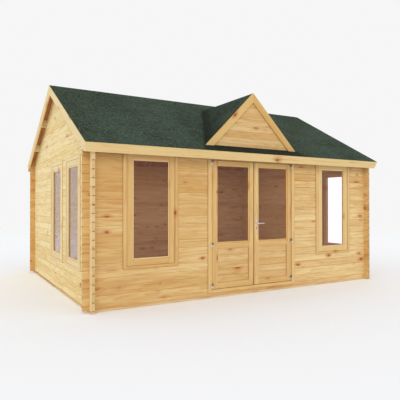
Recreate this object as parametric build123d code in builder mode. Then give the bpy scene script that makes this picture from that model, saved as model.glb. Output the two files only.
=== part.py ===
from build123d import *
from math import cos, radians, sin, tan
import os

os.makedirs("parts", exist_ok=True)

# A one-room log cabin with an apex roof and a small dormer over its double doors.
# Millimetres. X runs along the ridge, the front faces -Y, and Z = 0 is the ground.

# Log walls
cabin_length = 5300.0
cabin_depth = 4000.0
log_thickness = 44.0
log_pitch = 115.0
log_chamfer = 7.0
wedge_height = 6.0
groove_depth = 14.0
corner_stub = 90.0
course_count = 18
plate_height = 124.0

# Fits
seat_gap = 0.3
frame_play = 2.0
sash_play = 0.8
leaf_gap = 5.0

# Ground frame and floor
bearer_height = 28.0
bearer_width = 60.0
joist_width = 44.0
joist_height = 50.0
joist_count = 11
floor_thickness = 19.0
floor_play = 5.0

# Roof
roof_pitch = 29.0
roof_board = 19.0
felt_thickness = 3.0
eaves_clearance = 8.5
verge_overhang = 112.0
edge_board = 20.0
edge_board_width = 132.0
purlin_width = 44.0
purlin_depth = 120.0
purlin_places = (800.0, 1480.0)

# Dormer
dormer_pitch = 45.0
dormer_half_width = 889.0
dormer_barge_width = 105.0
dormer_panel = 20.0
dormer_panel_pitch = 100.0

# Windows
window_first_course = 4
window_courses = 14
front_window_inset = 871.0
left_window_insets = (858.0, 1913.0)
right_window_insets = (680.0, 1735.0)
glass_width = 525.0
glass_thickness = 4.0
stile_width = 101.0
bead_width = 25.0
bead_step = 10.0
lip_thickness = 12.0
rebate = 10.0
sash_thickness = 44.0
sash_setback = 5.0
frame_side = 41.0
frame_rail = 24.0
flange_lap = 12.5
flange_thickness = 12.0
settling_gap = 15.0
casing_width = 50.0
casing_thickness = 15.0
casing_reveal = 8.0

# Doors
leaf_width = 779.5
door_stile = 101.0
top_rail = 82.0
mid_rail_foot = 738.0
mid_rail = 97.0
bottom_rail = 90.0
door_frame_side = 55.0
door_sill_rail = 36.5
fascia_clearance = 8.0
panel_thickness = 18.0
panel_step = 10.0
panel_boards = 5
board_groove = 4.0

# Door furniture
hinge_radius = 9.0
hinge_length = 72.0
hinge_pin_radius = 4.0
hinge_pin_length = 30.0
hinge_top_inset = 33.0
hinge_foot_inset = 52.0
hinge_middle_height = 795.0
hinge_stand_off = 1.0
hinge_flats = 12
flag_reach = 27.0
flag_thickness = 4.0
lever_height = 1106.0
lever_inset = 46.0
lever_length = 125.0
lever_radius = 8.0
lever_stand_off = 45.0
plate_width = 42.0
plate_length = 250.0
plate_drop = 14.0
plate_thickness = 5.0
spindle_radius = 9.0
spindle_play = 1.0

# Worked out from the sizes above: walls and roof
half_length = cabin_length / 2
half_depth = cabin_depth / 2
half_log = log_thickness / 2
slope = radians(roof_pitch)
rise = tan(slope)
first_joint = bearer_height + log_pitch / 2
plate_foot = first_joint + course_count * log_pitch
gable_foot = bearer_height + (course_count + 1) * log_pitch
roof_foot = plate_foot + plate_height
ridge_underside = roof_foot + half_depth * rise
gable_courses = int((ridge_underside - gable_foot) / log_pitch) + 1
front_feet = [first_joint + course * log_pitch for course in range(course_count)]
side_feet = [bearer_height + course * log_pitch for course in range(course_count + 1)]
gable_feet = [gable_foot + course * log_pitch for course in range(gable_courses)]
wall_end = half_length + corner_stub
side_wall_end = half_depth + corner_stub
verge = half_length + verge_overhang - edge_board
roof_top = roof_board + felt_thickness
barge_foot = roof_board - edge_board_width
fascia_back = (barge_foot * sin(slope) - corner_stub - eaves_clearance) / cos(slope)
eaves_run = fascia_back - edge_board

# Worked out from the sizes above: openings
frame_width = glass_width + 2 * (stile_width + sash_play + frame_side)
frame_height = window_courses * log_pitch - seat_gap - settling_gap
opening_width = frame_width + 2 * frame_play
opening_height = window_courses * log_pitch
front_window_centre = half_length - front_window_inset
left_window_centres = [inset - half_depth for inset in left_window_insets]
right_window_centres = [inset - half_depth for inset in right_window_insets]
front_sill = front_feet[window_first_course]
side_sill = side_feet[window_first_course]
frame_face = seat_gap + flange_thickness
sash_face = frame_face - sash_setback
door_half_width = leaf_gap / 2 + leaf_width + leaf_gap
door_opening = door_half_width + door_frame_side + frame_play

front_plane = Plane(origin=(0, -half_depth, 0), x_dir=(1, 0, 0), z_dir=(0, -1, 0))
left_plane = Plane(origin=(-half_length, 0, 0), x_dir=(0, -1, 0), z_dir=(-1, 0, 0))
right_plane = Plane(origin=(half_length, 0, 0), x_dir=(0, 1, 0), z_dir=(1, 0, 0))


def finish(piece, name):
    """Label a finished piece and write it."""
    piece.part.label = name
    export_step(piece.part, f"parts/{name}.step")


def block(x_range, y_range, z_range, mode=Mode.ADD):
    """A rectangular block between three pairs of limits."""
    limits = (x_range, y_range, z_range)
    with Locations(tuple((low + high) / 2 for low, high in limits)):
        Box(*[high - low for low, high in limits], mode=mode)


# ---- Logs ----
# In a section, outward is the sign of the side that faces the weather.
# Each log has a wedge along its top, a deeper groove below, and a drip chamfer outside.


def log_foot(outward):
    """Foot of a log: the groove, then the chamfer up to the outer face."""
    face = outward * half_log
    seat = wedge_height * log_chamfer / half_log
    return [(-face, 0), (0, groove_depth), (face - outward * log_chamfer, seat), (face, log_chamfer)]


def log_outline(outward):
    """Section of a whole log, from the middle of its foot."""
    face = outward * half_log
    top = log_pitch - seat_gap
    return log_foot(outward) + [(face, top), (0, top + wedge_height), (-face, top)]


def half_log_outline():
    """Section of the half-height log that starts the front and back walls."""
    top = log_pitch / 2 - seat_gap
    return [
        (-half_log, seat_gap),
        (half_log, seat_gap),
        (half_log, top),
        (0, top + wedge_height),
        (-half_log, top),
    ]


def plate_outline(outward):
    """Section of the tall log under the roof, before its top is bevelled to the slope."""
    face = outward * half_log
    top = plate_height + log_thickness
    return log_foot(outward) + [(face, top), (-face, top)]


def log_stack(plane, across, feet, outline):
    """Sections of several logs, one above another, on a plane that crosses their wall."""
    with BuildSketch(plane) as stack:
        with Locations(*[(across, foot) for foot in feet]):
            Polygon(*outline, align=None)
    return stack.sketch


def cut_opening(plane, across, width, foot, head):
    """Cut a window or door through a wall, with the wedge planed off its sill log."""
    reach = half_log + log_chamfer
    top = head - seat_gap / 2
    with BuildSketch(plane) as opening:
        with Locations((across, 0)):
            Polygon(
                (-reach, foot - seat_gap),
                (reach, foot - seat_gap),
                (reach, top - wedge_height * log_chamfer / half_log),
                (0, top + wedge_height),
                (-reach, top - wedge_height * log_chamfer / half_log),
                align=None,
            )
    extrude(opening.sketch, amount=width / 2, both=True, mode=Mode.SUBTRACT)


def notch_corners(joints, along_x, sides=(-1, 1), walls=(-1, 1)):
    """Notch logs at the corners: a quarter of a log off above and below each joint."""
    across = log_thickness + 2 * seat_gap
    clear = 2 * log_thickness
    places = [
        (side * (half_length - half_log), wall * (half_depth - half_log), joint)
        for side in sides
        for wall in walls
        for joint in joints
    ]
    width, depth = (across, clear) if along_x else (clear, across)
    with Locations(*places):
        Box(width, depth, log_pitch / 2 + seat_gap, mode=Mode.SUBTRACT)


# ---- Roof sections, drawn on YZ for the front slope ----


def roof_point(run, height):
    """A (Y, Z) point: run up the slope from the wall face, height square off the underside."""
    y = -half_depth + run * cos(slope) - height * sin(slope)
    z = roof_foot + run * sin(slope) + height * cos(slope)
    return (y, z)


def ridge_point(height, short=0.0):
    """The (Y, Z) point of a layer at the ridge, or a little short of it."""
    return (-short, ridge_underside + height / cos(slope) - short * rise)


def slope_layer(plane, lower_run, bottom, top, short=0.0):
    """A sloping layer from its square lower end up to the ridge."""
    with BuildSketch(plane) as layer:
        with BuildLine():
            Polyline(
                roof_point(lower_run, bottom),
                ridge_point(bottom, short),
                ridge_point(top, short),
                roof_point(lower_run, top),
                close=True,
            )
        make_face()
    return layer.sketch


def beyond_roof(height, limit):
    """Both slopes at a height square off their underside, closed by a level line."""
    y, z = roof_point(2 * eaves_run, height)
    with BuildSketch(Plane.YZ) as region:
        with BuildLine():
            Polyline((y, z), ridge_point(height), (-y, z), (-y, limit), (y, limit), close=True)
        make_face()
    return region.sketch


def trim_under_roof():
    """Cut the part being built back to the underside of the roof boards."""
    above = beyond_roof(-seat_gap, 2 * ridge_underside)
    extrude(above, amount=cabin_length, both=True, mode=Mode.SUBTRACT)


def trim_over_roof():
    """Cut the part being built back to the top of the roof felt."""
    below = beyond_roof(roof_top + seat_gap, -ridge_underside)
    extrude(below, amount=cabin_length, both=True, mode=Mode.SUBTRACT)


def purlin_sections(play, lift):
    """Sections of the ridge purlin and the purlins of both slopes, bevelled to the roof."""
    half_width = purlin_width / 2 + play
    top = ridge_underside + lift / cos(slope)
    with BuildSketch(Plane.YZ) as sections:
        for place in purlin_places:
            Polygon(
                (-place - half_width, ridge_underside - place * rise - purlin_depth - play),
                (-place + half_width, ridge_underside - place * rise - purlin_depth - play),
                (-place + half_width, top - (place - half_width) * rise),
                (-place - half_width, top - (place + half_width) * rise),
                align=None,
            )
        mirror(about=Plane.YZ)
        Polygon(
            (-half_width, ridge_underside - purlin_depth - play),
            (half_width, ridge_underside - purlin_depth - play),
            (half_width, top - half_width * rise),
            (0, top),
            (-half_width, top - half_width * rise),
            align=None,
        )
    return sections.sketch


# ---- Ground frame and floor ----

bearer_centre = half_length - half_log
cross_bearer_end = bearer_centre - bearer_width / 2 - seat_gap
with BuildPart() as base_bearers:
    for side in (-1, 1):
        with Locations((side * bearer_centre, 0, bearer_height / 2)):
            Box(bearer_width, 2 * side_wall_end, bearer_height)
    for wall in (-1, 1):
        with Locations((0, wall * (half_depth - half_log), bearer_height / 2)):
            Box(2 * cross_bearer_end, bearer_width, bearer_height)
finish(base_bearers, "base_bearers")

joist_length = 2 * (half_depth - half_log - bearer_width / 2 - seat_gap)
joist_spacing = 2 * (cross_bearer_end - joist_width) / (joist_count - 1)
with BuildPart() as floor_joists:
    with GridLocations(joist_spacing, 1, joist_count, 1):
        Box(joist_width, joist_length, joist_height, align=(Align.CENTER, Align.CENTER, Align.MIN))
finish(floor_joists, "floor_joists")

floor_top = joist_height + floor_thickness
floor_x = half_length - log_thickness - floor_play
floor_y = half_depth - log_thickness - floor_play
with BuildPart() as floor:
    block((-floor_x, floor_x), (-floor_y, floor_y), (joist_height, floor_top))
finish(floor, "floor")

# ---- Log walls ----

front_joints = front_feet + [plate_foot]
side_joints = side_feet + [gable_foot]

with BuildPart() as sill_logs:
    for wall in (-1, 1):
        across = wall * (half_depth - half_log)
        sections = log_stack(Plane.YZ, across, [bearer_height], half_log_outline())
        extrude(sections, amount=wall_end, both=True)
    notch_corners(front_joints[:1], along_x=True)
    cut_opening(Plane.YZ, half_log - half_depth, 2 * door_opening, first_joint, plate_foot)
finish(sill_logs, "sill_logs")

for name, side in (("left", -1), ("right", 1)):
    across = half_log - half_depth
    with BuildPart() as front_wall:
        sections = log_stack(Plane.YZ.offset(side * door_opening), across, front_feet, log_outline(-1))
        extrude(sections, amount=side * (wall_end - door_opening))
        notch_corners(front_joints, along_x=True, sides=(side,), walls=(-1,))
        middle = Plane.YZ.offset(side * front_window_centre)
        cut_opening(middle, across, opening_width, front_sill, front_sill + opening_height)
    finish(front_wall, f"front_wall_{name}")

with BuildPart() as back_wall:
    sections = log_stack(Plane.YZ, half_depth - half_log, front_feet, log_outline(1))
    extrude(sections, amount=wall_end, both=True)
    notch_corners(front_joints, along_x=True, walls=(1,))
finish(back_wall, "back_wall")

with BuildPart() as wall_plates:
    for wall in (-1, 1):
        across = wall * (half_depth - half_log)
        sections = log_stack(Plane.YZ, across, [plate_foot], plate_outline(wall))
        extrude(sections, amount=wall_end, both=True)
    plate_joints = [plate_foot, plate_foot + log_pitch, plate_foot + 1.5 * log_pitch]
    notch_corners(plate_joints, along_x=True)
    trim_under_roof()
finish(wall_plates, "wall_plates")

for name, side, centres in (("left", -1, left_window_centres), ("right", 1, right_window_centres)):
    across = side * (half_length - half_log)
    with BuildPart() as side_wall:
        sections = log_stack(Plane.XZ, across, side_feet, log_outline(side))
        extrude(sections, amount=side_wall_end, both=True)
        notch_corners(side_joints, along_x=False, sides=(side,))
        for centre in centres:
            middle = Plane.XZ.offset(-centre)
            cut_opening(middle, across, opening_width, side_sill, side_sill + opening_height)
        trim_under_roof()
    finish(side_wall, f"{name}_wall")

for name, side in (("left", -1), ("right", 1)):
    across = side * (half_length - half_log)
    with BuildPart() as gable:
        sections = log_stack(Plane.XZ, across, gable_feet, log_outline(side))
        extrude(sections, amount=side_wall_end, both=True)
        notch_corners([gable_foot], along_x=False, sides=(side,))
        trim_under_roof()
        pockets = purlin_sections(seat_gap, purlin_depth)
        extrude(pockets, amount=cabin_length, both=True, mode=Mode.SUBTRACT)
        whole = gable.solids().sort_by(SortBy.VOLUME)[-1].volume
        offcuts = gable.solids().filter_by(lambda piece: piece.volume < whole / 100)
        add(offcuts, mode=Mode.SUBTRACT)
    finish(gable, f"{name}_gable")

# ---- Roof ----

with BuildPart() as roof_purlins:
    extrude(purlin_sections(0, -seat_gap), amount=verge - seat_gap, both=True)
finish(roof_purlins, "roof_purlins")

with BuildPart() as front_roof_boards:
    layer = slope_layer(Plane.YZ, fascia_back + seat_gap, 0, roof_board, seat_gap / 2)
    extrude(layer, amount=verge - seat_gap, both=True)
finish(front_roof_boards, "front_roof_boards")

with BuildPart() as rear_roof_boards:
    mirror(front_roof_boards.part, about=Plane.XZ)
finish(rear_roof_boards, "rear_roof_boards")

with BuildPart() as roof_felt:
    layer = slope_layer(Plane.YZ, eaves_run, roof_board + seat_gap, roof_top, seat_gap / 2)
    extrude(layer, amount=verge + edge_board, both=True)
    mirror(about=Plane.XZ)
finish(roof_felt, "roof_felt")

with BuildPart() as fascias:
    with BuildSketch(Plane.YZ):
        with BuildLine():
            Polyline(
                roof_point(eaves_run, roof_board),
                roof_point(fascia_back, roof_board),
                roof_point(fascia_back, barge_foot),
                roof_point(eaves_run, barge_foot),
                close=True,
            )
        make_face()
    extrude(amount=verge - seat_gap, both=True)
    mirror(about=Plane.XZ)
finish(fascias, "fascias")

with BuildPart() as bargeboards:
    layer = slope_layer(Plane.YZ.offset(verge), eaves_run, barge_foot, roof_board, seat_gap / 2)
    extrude(layer, amount=edge_board)
    mirror(about=Plane.XZ)
    mirror(about=Plane.YZ)
finish(bargeboards, "bargeboards")

# ---- Dormer ----
# Its roof is laid over the main roof, which runs on whole beneath it.

dormer_slope = radians(dormer_pitch)
dormer_front = -half_depth
dormer_apex = roof_foot + roof_top / cos(slope) + dormer_half_width * tan(dormer_slope)
dormer_back = dormer_front + (dormer_apex - roof_foot) / rise


def dormer_layer(start, depth, thickness, side, short=0.0):
    """One slope of a dormer layer, a depth square below its top, wide enough to reach the roof."""
    reach = 1.5 * dormer_half_width
    with BuildSketch(Plane.XZ.offset(-start)) as layer:
        with BuildLine():
            corners = []
            for below, x in ((0, short), (0, reach), (thickness, reach), (thickness, short)):
                z = dormer_apex - (depth + below) / cos(dormer_slope) - x * tan(dormer_slope)
                corners.append((side * x, z))
            Polyline(*corners, close=True)
        make_face()
    return layer.sketch


def groove_boards(face_y, width, heights):
    """Vee grooves along a boarded face that looks forward."""
    edge = board_groove * 2 ** 0.5
    with Locations(*[(0, face_y, height) for height in heights]):
        Box(width, edge, edge, rotation=(45, 0, 0), mode=Mode.SUBTRACT)


board_front = dormer_front + edge_board + seat_gap
with BuildPart() as dormer_bargeboards:
    for side in (-1, 1):
        layer = dormer_layer(dormer_front, 0, dormer_barge_width, side, seat_gap / 2)
        extrude(layer, amount=-edge_board)
    trim_over_roof()
finish(dormer_bargeboards, "dormer_bargeboards")

with BuildPart() as dormer_roof_boards:
    for side in (-1, 1):
        layer = dormer_layer(board_front, felt_thickness + seat_gap, roof_board, side, seat_gap / 2)
        extrude(layer, amount=board_front - dormer_back)
    trim_over_roof()
finish(dormer_roof_boards, "dormer_roof_boards")

with BuildPart() as dormer_felt:
    for side in (-1, 1):
        layer = dormer_layer(board_front, 0, felt_thickness, side, seat_gap / 2)
        extrude(layer, amount=board_front - dormer_back)
    trim_over_roof()
finish(dormer_felt, "dormer_felt")

panel_depth = felt_thickness + roof_board + 2 * seat_gap
panel_top = dormer_apex - panel_depth / cos(dormer_slope)
panel_courses = int(dormer_half_width / dormer_panel_pitch)
panel_joints = [panel_top - count * dormer_panel_pitch for count in range(1, panel_courses)]
with BuildPart() as dormer_gable:
    with BuildSketch(Plane.XZ.offset(-board_front)):
        reach = 1.5 * dormer_half_width
        drop = reach * tan(dormer_slope)
        Polygon((0, panel_top), (reach, panel_top - drop), (-reach, panel_top - drop), align=None)
    extrude(amount=-dormer_panel)
    trim_over_roof()
    groove_boards(board_front, 2 * reach, panel_joints)
finish(dormer_gable, "dormer_gable")

# ---- Windows ----
# Drawn on the outer face of a wall; a size is (width, height, height of its foot).


def panes(plane, centres, size):
    """Equal rectangles side by side."""
    width, height, foot = size
    with BuildSketch(plane) as shapes:
        with Locations(*[(centre, foot) for centre in centres]):
            Rectangle(width, height, align=(Align.CENTER, Align.MIN))
    return shapes.sketch


def grown(size, edge):
    """A size made larger by an edge all round."""
    width, height, foot = size
    return (width + 2 * edge, height + 2 * edge, foot - edge)


def make_frames(plane, centres, outer, inner, hole):
    """Frames that line a hole in the logs, with a flange over the joint outside."""
    with BuildPart() as frames:
        back = plane.offset(-log_thickness)
        extrude(panes(back, centres, outer), amount=log_thickness + frame_face)
        extrude(panes(plane.offset(seat_gap), centres, grown(hole, flange_lap)), amount=flange_thickness)
        extrude(panes(back, centres, inner), amount=2 * log_thickness, mode=Mode.SUBTRACT)
    return frames


def cut_light(plane, centres, light):
    """Cut a glazed opening through a sash or a leaf, with a bead outside and a rebate inside."""
    lip_back = bead_step + lip_thickness
    extrude(panes(plane, centres, light), amount=-sash_thickness, mode=Mode.SUBTRACT)
    extrude(panes(plane, centres, grown(light, bead_width)), amount=-bead_step, mode=Mode.SUBTRACT)
    behind = panes(plane.offset(-lip_back), centres, grown(light, rebate))
    extrude(behind, amount=lip_back - sash_thickness, mode=Mode.SUBTRACT)


def make_glass(plane, centres, light):
    """Panes seated against the lip of their rebate."""
    with BuildPart() as glass:
        seat = plane.offset(-bead_step - lip_thickness - seat_gap)
        extrude(panes(seat, centres, grown(light, rebate - seat_gap)), amount=-glass_thickness)
    return glass


window_walls = (
    ("front", front_plane, [-front_window_centre, front_window_centre], front_sill),
    ("left", left_plane, [-centre for centre in left_window_centres], side_sill),
    ("right", right_plane, right_window_centres, side_sill),
)
casing_plans = []
for wall_name, wall_plane, centres, sill in window_walls:
    hole = (opening_width, opening_height, sill)
    outer = (frame_width, frame_height, sill + seat_gap)
    inner = (frame_width - 2 * frame_side, frame_height - 2 * frame_rail, sill + seat_gap + frame_rail)
    finish(make_frames(wall_plane, centres, outer, inner, hole), f"{wall_name}_window_frames")

    face = wall_plane.offset(sash_face)
    sash = (inner[0] - 2 * sash_play, inner[1] - seat_gap - sash_play, inner[2] + seat_gap)
    light = grown(sash, -stile_width)
    with BuildPart() as sashes:
        extrude(panes(face, centres, sash), amount=-sash_thickness)
        cut_light(face, centres, light)
    finish(sashes, f"{wall_name}_window_sashes")
    finish(make_glass(face, centres, light), f"{wall_name}_window_glass")
    casing_plans.append((wall_plane, centres, grown(inner, casing_reveal)))

# ---- Door frame and leaves ----

fascia_foot = roof_point(eaves_run, barge_foot)[1]
leaf_top = fascia_foot - fascia_clearance
frame_inside_foot = first_joint + seat_gap + door_sill_rail
leaf_foot = frame_inside_foot + leaf_gap
door_hole = (2 * door_opening, plate_foot - first_joint, first_joint)
door_outer = (
    2 * (door_half_width + door_frame_side),
    plate_foot - settling_gap - first_joint - seat_gap,
    first_joint + seat_gap,
)
door_inner = (2 * door_half_width, leaf_top + leaf_gap - frame_inside_foot, frame_inside_foot)

# The jambs run the full height, with the head and the sill between them.
door_bars = make_frames(front_plane, [0], door_outer, door_inner, door_hole)
with BuildPart() as door_frame:
    add(door_bars.part)
    for side in (-1, 1):
        with Locations((side * (door_half_width - seat_gap / 2), -half_depth, plate_foot / 2)):
            Box(seat_gap, 4 * log_thickness, 2 * plate_foot, mode=Mode.SUBTRACT)
finish(door_frame, "door_frame")

with BuildPart() as inner_casings:
    for wall_plane, centres, inside in casing_plans:
        back = wall_plane.offset(-log_thickness - seat_gap)
        extrude(panes(back, centres, grown(inside, casing_width)), amount=-casing_thickness)
        extrude(panes(back, centres, inside), amount=-casing_thickness, mode=Mode.SUBTRACT)
    back = front_plane.offset(-log_thickness - seat_gap)
    inside = grown(door_inner, casing_reveal)
    leg_foot = floor_top + seat_gap
    leg_top = inside[1] + inside[2]
    leg_centre = (inside[0] + casing_width) / 2
    legs = (casing_width, leg_top - seat_gap - leg_foot, leg_foot)
    extrude(panes(back, [-leg_centre, leg_centre], legs), amount=-casing_thickness)
    lintel = (inside[0] + 2 * casing_width, casing_width, leg_top)
    extrude(panes(back, [0], lintel), amount=-casing_thickness)
finish(inner_casings, "inner_casings")

leaf_centre = leaf_gap / 2 + leaf_width / 2
leaf_face = front_plane.offset(sash_face)
light_foot = mid_rail_foot + mid_rail
light_width = leaf_width - 2 * door_stile
door_light = (light_width, leaf_top - top_rail - light_foot, light_foot)
panel_foot = leaf_foot + bottom_rail
panel_hole = (light_width, mid_rail_foot - panel_foot, panel_foot)
panel_joint = panel_hole[1] / panel_boards
lever_x = leaf_gap / 2 + lever_inset
leaf_outer_y = -half_depth - sash_face
leaf_inner_y = leaf_outer_y + sash_thickness
hinge_x = door_half_width - leaf_gap / 2
hinge_y = -half_depth - frame_face - hinge_stand_off - hinge_radius
hinge_heights = (leaf_foot + hinge_foot_inset, hinge_middle_height, leaf_top - hinge_top_inset)

for name, side in (("left", -1), ("right", 1)):
    middle = [side * leaf_centre]
    with BuildPart() as leaf:
        blank = panes(leaf_face, middle, (leaf_width, leaf_top - leaf_foot, leaf_foot))
        extrude(blank, amount=-sash_thickness)
        cut_light(leaf_face, middle, door_light)
        extrude(panes(leaf_face, middle, panel_hole), amount=-sash_thickness, mode=Mode.SUBTRACT)
        behind = panes(leaf_face.offset(-panel_step), middle, grown(panel_hole, rebate))
        extrude(behind, amount=panel_step - sash_thickness, mode=Mode.SUBTRACT)
        if name == "right":
            with BuildSketch(leaf_face):
                with Locations((lever_x, lever_height)):
                    Circle(spindle_radius + spindle_play)
            extrude(amount=-sash_thickness, mode=Mode.SUBTRACT)
    finish(leaf, f"{name}_door_leaf")
    finish(make_glass(leaf_face, middle, door_light), f"{name}_door_glass")

    with BuildPart() as panel:
        seat = leaf_face.offset(-panel_step - seat_gap)
        extrude(panes(seat, middle, grown(panel_hole, rebate - seat_gap)), amount=-panel_thickness)
        heights = [panel_foot + count * panel_joint for count in range(1, panel_boards)]
        groove_boards(leaf_outer_y + panel_step + seat_gap, cabin_length, heights)
    finish(panel, f"{name}_door_panel")

# ---- Door furniture ----
# Lift-off hinges: the lower knuckle, its flag and the pin are on the frame, the upper knuckle on the leaf.
# Their turned surfaces are drawn with a few flats, because there are six of each.

knuckle = (hinge_length - seat_gap) / 2
flag_front = -half_depth - frame_face - flag_thickness


def knuckle_section(side, towards, back, foot):
    """Section of a knuckle with the flag that reaches from it across the face at its back."""
    with BuildSketch(Plane.XY.offset(foot)) as section:
        with Locations((side * hinge_x, hinge_y)):
            RegularPolygon(hinge_radius, hinge_flats)
        with Locations((side * (hinge_x + towards * flag_reach / 2), (flag_front + back) / 2)):
            Rectangle(flag_reach, back - flag_front)
    return section.sketch


def pin_section(side, radius, foot):
    """Section of a hinge pin or of the bore it turns in."""
    with BuildSketch(Plane.XY.offset(foot)) as section:
        with Locations((side * hinge_x, hinge_y)):
            RegularPolygon(radius, hinge_flats)
    return section.sketch


with BuildPart() as hinge_pins:
    for side in (-1, 1):
        for height in hinge_heights:
            foot = height - hinge_length / 2
            back = -half_depth - frame_face - seat_gap
            extrude(knuckle_section(side, 1, back, foot), amount=knuckle)
            extrude(pin_section(side, hinge_pin_radius, foot + knuckle), amount=hinge_pin_length)
finish(hinge_pins, "hinge_pins")

for name, side in (("left", -1), ("right", 1)):
    with BuildPart() as hinges:
        for height in hinge_heights:
            foot = height + seat_gap / 2
            extrude(knuckle_section(side, -1, leaf_outer_y - seat_gap, foot), amount=knuckle)
            bore = pin_section(side, hinge_pin_radius + seat_gap, foot)
            extrude(bore, amount=hinge_pin_length + seat_gap, mode=Mode.SUBTRACT)
    finish(hinges, f"{name}_door_hinges")

plate_foot_height = lever_height - plate_drop - plate_length / 2
with BuildPart() as handle_plates:
    for seat, direction in ((sash_face + seat_gap, 1), (sash_face - sash_thickness - seat_gap, -1)):
        plate_plane = front_plane.offset(seat)
        plate = panes(plate_plane, [lever_x], (plate_width, plate_length, plate_foot_height))
        extrude(plate, amount=direction * plate_thickness)
        with BuildSketch(plate_plane):
            with Locations((lever_x, lever_height)):
                Circle(spindle_radius + spindle_play)
        extrude(amount=direction * plate_thickness, mode=Mode.SUBTRACT)
finish(handle_plates, "handle_plates")

lever_out = lever_stand_off + plate_thickness + seat_gap
with BuildPart() as door_lever:
    with BuildSketch(front_plane.offset(sash_face + lever_out)):
        with Locations((lever_x, lever_height)):
            Circle(spindle_radius)
    extrude(amount=-sash_thickness - 2 * lever_out)
    for y in (leaf_outer_y - lever_out, leaf_inner_y + lever_out):
        with BuildSketch(Plane.YZ.offset(lever_x)):
            with Locations((y, lever_height)):
                Circle(lever_radius)
        extrude(amount=lever_length)
finish(door_lever, "door_lever")
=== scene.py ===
import math
from functools import partial

import bpy
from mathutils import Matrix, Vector


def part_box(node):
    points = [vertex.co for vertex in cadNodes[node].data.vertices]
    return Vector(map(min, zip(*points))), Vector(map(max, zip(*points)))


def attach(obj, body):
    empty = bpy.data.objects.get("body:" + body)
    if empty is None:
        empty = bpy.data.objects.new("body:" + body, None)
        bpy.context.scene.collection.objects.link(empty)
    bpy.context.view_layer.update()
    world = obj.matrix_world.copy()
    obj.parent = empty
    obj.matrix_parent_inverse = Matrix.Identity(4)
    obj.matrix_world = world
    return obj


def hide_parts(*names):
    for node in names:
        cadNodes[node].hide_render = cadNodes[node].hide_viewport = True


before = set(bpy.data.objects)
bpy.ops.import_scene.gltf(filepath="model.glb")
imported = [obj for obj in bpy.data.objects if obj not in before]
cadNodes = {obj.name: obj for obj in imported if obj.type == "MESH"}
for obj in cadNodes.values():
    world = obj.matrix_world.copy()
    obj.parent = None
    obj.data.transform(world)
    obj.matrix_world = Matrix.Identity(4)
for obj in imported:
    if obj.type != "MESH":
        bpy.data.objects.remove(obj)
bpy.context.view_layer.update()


def paint(code):
    # A hex colour in linear light
    channels = [int(code[place:place + 2], 16) / 255 for place in (1, 3, 5)]
    linear = [part / 12.92 if part <= 0.04045 else ((part + 0.055) / 1.055) ** 2.4 for part in channels]
    return (*linear, 1.0)


def setAll(thing, settings):
    for name, value in settings.items():
        setattr(thing, name, value)


def fill(node, inputs):
    # Each input takes another node's output or a plain value
    for key, value in inputs.items():
        if isinstance(value, bpy.types.NodeSocket):
            node.id_data.links.new(value, node.inputs[key])
        else:
            node.inputs[key].default_value = value


def addNode(kind, inputs=None, tree=None, **settings):
    # Goes in the tree given, or else in the one that its inputs come from
    if tree is None:
        tree = next(value.id_data for value in inputs.values() if isinstance(value, bpy.types.NodeSocket))
    node = tree.nodes.new(kind)
    setAll(node, settings)
    fill(node, inputs or {})
    return node


def calc(operation, *values):
    return addNode("ShaderNodeMath", dict(enumerate(values)), operation=operation).outputs[0]


plus, minus, larger = partial(calc, "ADD"), partial(calc, "SUBTRACT"), partial(calc, "MAXIMUM")
timesPlus, absolute = partial(calc, "MULTIPLY_ADD"), partial(calc, "ABSOLUTE")


def times(first, *others):
    for other in others:
        first = calc("MULTIPLY", first, other)
    return first


def calcVector(operation, *values):
    node = addNode("ShaderNodeVectorMath", dict(enumerate(values)), operation=operation)
    return node.outputs["Value" if operation == "LENGTH" else "Vector"]


def distanceTo(value, middle):
    return absolute(minus(value, middle))


def splitAxes(vector):
    return list(addNode("ShaderNodeSeparateXYZ", {0: vector}).outputs)


def joinAxes(x, y, z=0.0):
    return addNode("ShaderNodeCombineXYZ", {0: x, 1: y, 2: z}).outputs[0]


def fade(value, low, high, first=0.0, last=1.0):
    # From the first number to the last as the value goes from low to high, eased at both ends
    ends = {"Value": value, "From Min": low, "From Max": high, "To Min": first, "To Max": last}
    return addNode("ShaderNodeMapRange", ends, interpolation_type="SMOOTHSTEP").outputs["Result"]


def mixSockets(share, first, second, kind="RGBA", mode="MIX"):
    # The mix node keeps separate sockets for numbers, vectors and colours
    entry, result = {"FLOAT": (2, 0), "VECTOR": (4, 1), "RGBA": (6, 2)}[kind]
    inputs = {0: share, entry: first, entry + 1: second}
    return addNode("ShaderNodeMix", inputs, data_type=kind, blend_type=mode).outputs[result]


def stain(share, base, colour):
    # Multiplies a share of the base by a colour
    return mixSockets(share, base, mixSockets(1.0, base, paint(colour), mode="MULTIPLY"))


def noise(vector, scale=1.0, detail=2.0, roughness=0.5, stretch=None):
    if stretch is not None:
        vector = calcVector("MULTIPLY", vector, stretch)
    ends = {"Vector": vector, "Scale": scale, "Detail": detail, "Roughness": roughness}
    return addNode("ShaderNodeTexNoise", ends).outputs[0]


def randomOf(mark):
    return addNode("ShaderNodeTexWhiteNoise", {"W": mark}, noise_dimensions="1D").outputs["Value"]


socketKinds = {"vector": "NodeSocketVector", "colour": "NodeSocketColor", "value": "NodeSocketFloat"}


def startGroup(name, takes, gives):
    tree = bpy.data.node_groups.new(name, "ShaderNodeTree")
    for direction, sockets in (("INPUT", takes), ("OUTPUT", gives)):
        for label, kind in sockets.items():
            tree.interface.new_socket(name=label, in_out=direction, socket_type=socketKinds[kind])
    return tree, tree.nodes.new("NodeGroupInput").outputs, tree.nodes.new("NodeGroupOutput")


def useGroup(group, inputs):
    return addNode("ShaderNodeGroup", inputs, node_tree=group).outputs


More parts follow.
